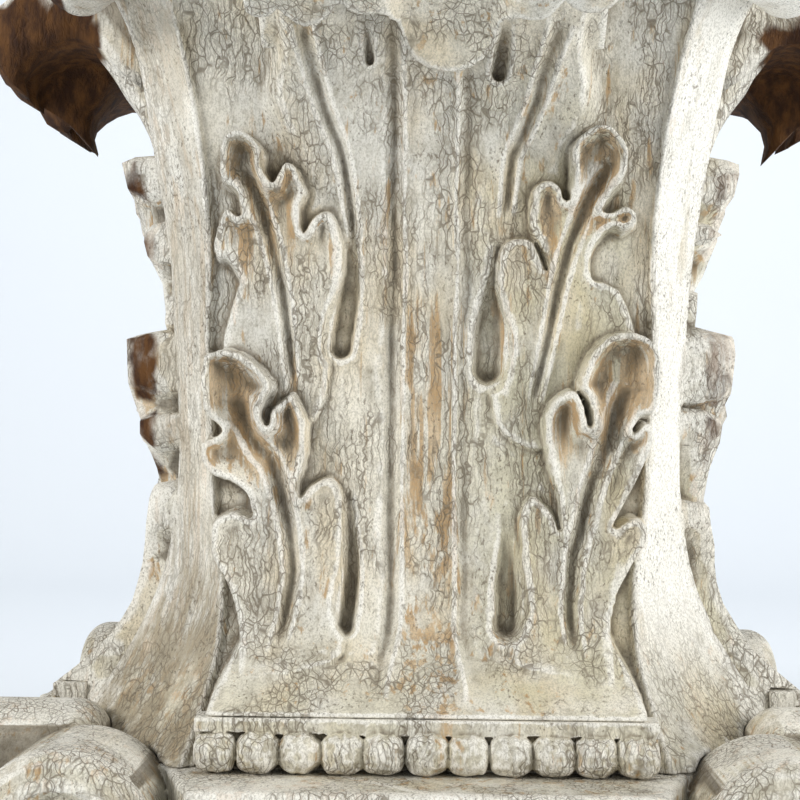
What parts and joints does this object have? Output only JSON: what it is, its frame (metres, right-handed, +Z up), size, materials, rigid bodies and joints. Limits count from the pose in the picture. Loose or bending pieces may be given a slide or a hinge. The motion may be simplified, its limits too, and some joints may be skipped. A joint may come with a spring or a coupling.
{
  "type": "corinthian_capital",
  "caption": "Carved wooden Corinthian-style capital with worn limewash: a tall curled acanthus leaf on each face, bead mouldings and a square scrolled plinth.",
  "frame": {"origin": "middle of the plinth's underside", "axes": "+Z up from the plinth to the abacus, the front face towards -Y, +X to the right as seen from the front"},
  "size_m": [0.5966, 0.5966, 0.62],
  "materials": {
    "limewash_body": "worn limewash",
    "limewash_plinth": "worn limewash",
    "limewash_abacus": "worn limewash",
    "limewash_moulding": "worn limewash"
  },
  "bodies": {
    "root": {"bell_with_leaves": "limewash_body", "plinth_with_scrolls": "limewash_plinth", "abacus": "limewash_abacus", "bead_moulding_front": "limewash_moulding", "bead_moulding_right": "limewash_moulding", "bead_moulding_back": "limewash_moulding", "bead_moulding_left": "limewash_moulding"}
  },
  "joints": []
}
